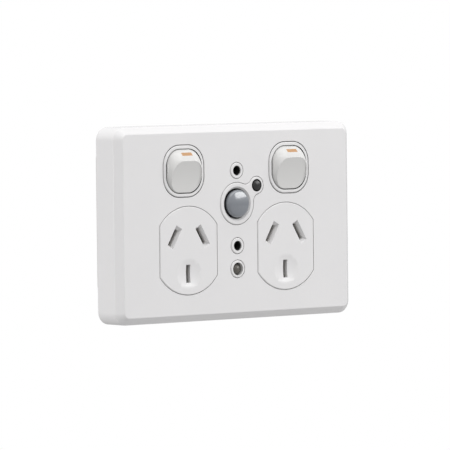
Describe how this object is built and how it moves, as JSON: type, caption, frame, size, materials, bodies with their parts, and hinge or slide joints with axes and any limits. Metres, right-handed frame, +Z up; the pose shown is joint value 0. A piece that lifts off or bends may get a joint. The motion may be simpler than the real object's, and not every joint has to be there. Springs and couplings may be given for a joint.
{
  "type": "rcd double socket",
  "caption": "Wall-mounted twin switched socket outlet with a built-in residual current device, bevelled cover, rocker switches, reset and test buttons and lamps.",
  "frame": {"origin": "midway between the two fixing holes, on the wall's surface", "axes": "+X to the right seen from the front, +Z up, +Y from the face into the wall"},
  "size_m": [0.116, 0.0477, 0.076],
  "materials": {
    "white_plastic": "polished",
    "orange_plastic": "satin",
    "blue_grey_plastic": "polished",
    "dark_grey_plastic": "satin",
    "black_plastic": "matt",
    "clear_lens": "polished",
    "smoked_lens": "polished",
    "housing_plastic": "matt",
    "brass": "drawn",
    "steel": "zinc plated",
    "spring_steel": "drawn",
    "iron": "plated",
    "copper_winding": "enamelled",
    "board_laminate": "satin",
    "blue_epoxy": "satin",
    "yellow_film": "satin"
  },
  "bodies": {
    "frame": {"front_moulding": "white_plastic", "reset_spring": "spring_steel", "test_leaf": "brass", "upper_lamp": "clear_lens", "middle_lamp": "clear_lens", "lower_lamp": "smoked_lens", "upper_lamp_holder": "black_plastic", "middle_lamp_holder": "black_plastic", "lower_lamp_holder": "black_plastic", "rear_housing": "housing_plastic", "housing_screws": "steel", "contact_carrier": "housing_plastic", "left_active_contact": "brass", "right_active_contact": "brass", "neutral_strip": "brass", "earth_strip": "brass", "switch_feed_bar": "brass", "active_terminal": "brass", "earth_terminal": "brass", "neutral_terminal": "brass", "terminal_screws": "steel", "indicator_board": "board_laminate", "contact_base": "housing_plastic", "carriage_springs": "spring_steel", "line_active_bar": "brass", "line_neutral_bar": "brass", "load_active_bar": "brass", "load_neutral_bar": "brass", "sensing_core": "iron", "sensing_winding": "copper_winding", "magnet_core": "iron", "magnet_yoke": "iron", "coil_bobbin": "black_plastic", "coil_winding": "copper_winding", "control_board": "board_laminate", "mains_capacitor": "yellow_film", "surge_varistor": "blue_epoxy", "control_chip": "black_plastic", "test_resistor": "blue_epoxy"},
    "cover": {"cover_plate": "white_plastic"},
    "left_switch": {"left_rocker": "white_plastic", "left_rocker_mark": "orange_plastic", "left_rocker_plunger": "housing_plastic", "left_rocker_spring": "spring_steel"},
    "right_switch": {"right_rocker": "white_plastic", "right_rocker_mark": "orange_plastic", "right_rocker_plunger": "housing_plastic", "right_rocker_spring": "spring_steel"},
    "left_seesaw": {"left_moving_contact": "brass"},
    "right_seesaw": {"right_moving_contact": "brass"},
    "reset": {"reset_button": "blue_grey_plastic"},
    "carriage": {"contact_carriage": "black_plastic", "active_bridge": "brass", "neutral_bridge": "brass", "armature_plate": "iron"},
    "test": {"test_button": "dark_grey_plastic"}
  },
  "joints": [
    {"name": "left_rocker_tilt", "type": "hinge", "parent": "frame", "child": "left_switch", "pos_m": [-0.02605, -0.00869, 0.0205], "axis": [-1, 0, 0], "range_deg": [0, 32]},
    {"name": "left_contact_tilt", "type": "hinge", "parent": "frame", "child": "left_seesaw", "pos_m": [-0.02605, 0.0008, 0.0205], "axis": [1, 0, 0], "range_deg": [0, 24]},
    {"name": "right_rocker_tilt", "type": "hinge", "parent": "frame", "child": "right_switch", "pos_m": [0.02605, -0.00869, 0.0205], "axis": [-1, 0, 0], "range_deg": [0, 32]},
    {"name": "right_contact_tilt", "type": "hinge", "parent": "frame", "child": "right_seesaw", "pos_m": [0.02605, 0.0008, 0.0205], "axis": [1, 0, 0], "range_deg": [0, 24]},
    {"name": "reset_press", "type": "slide", "parent": "frame", "child": "reset", "axis": [0, 1, 0], "range_m": [0, 0.0023], "stiffness_N_per_m": 900, "springref_m": -0.001, "deforming": ["reset_spring"]},
    {"name": "carriage_travel", "type": "slide", "parent": "frame", "child": "carriage", "axis": [0, 1, 0], "range_m": [0, 0.0023], "deforming": ["carriage_springs"]},
    {"name": "test_press", "type": "slide", "parent": "frame", "child": "test", "axis": [0, 1, 0], "range_m": [0, 0.001], "stiffness_N_per_m": 500, "springref_m": -0.0005, "deforming": ["test_leaf"]},
    {"name": "cover_release", "type": "slide", "parent": "frame", "child": "cover", "axis": [0, -1, 0], "range_m": [0, 0.02]}
  ],
  "couplings": [
    {"joint": "left_contact_tilt", "follows": "left_rocker_tilt", "ratio": 0.75},
    {"joint": "right_contact_tilt", "follows": "right_rocker_tilt", "ratio": 0.75},
    {"joint": "carriage_travel", "follows": "reset_press", "ratio": 1}
  ]
}
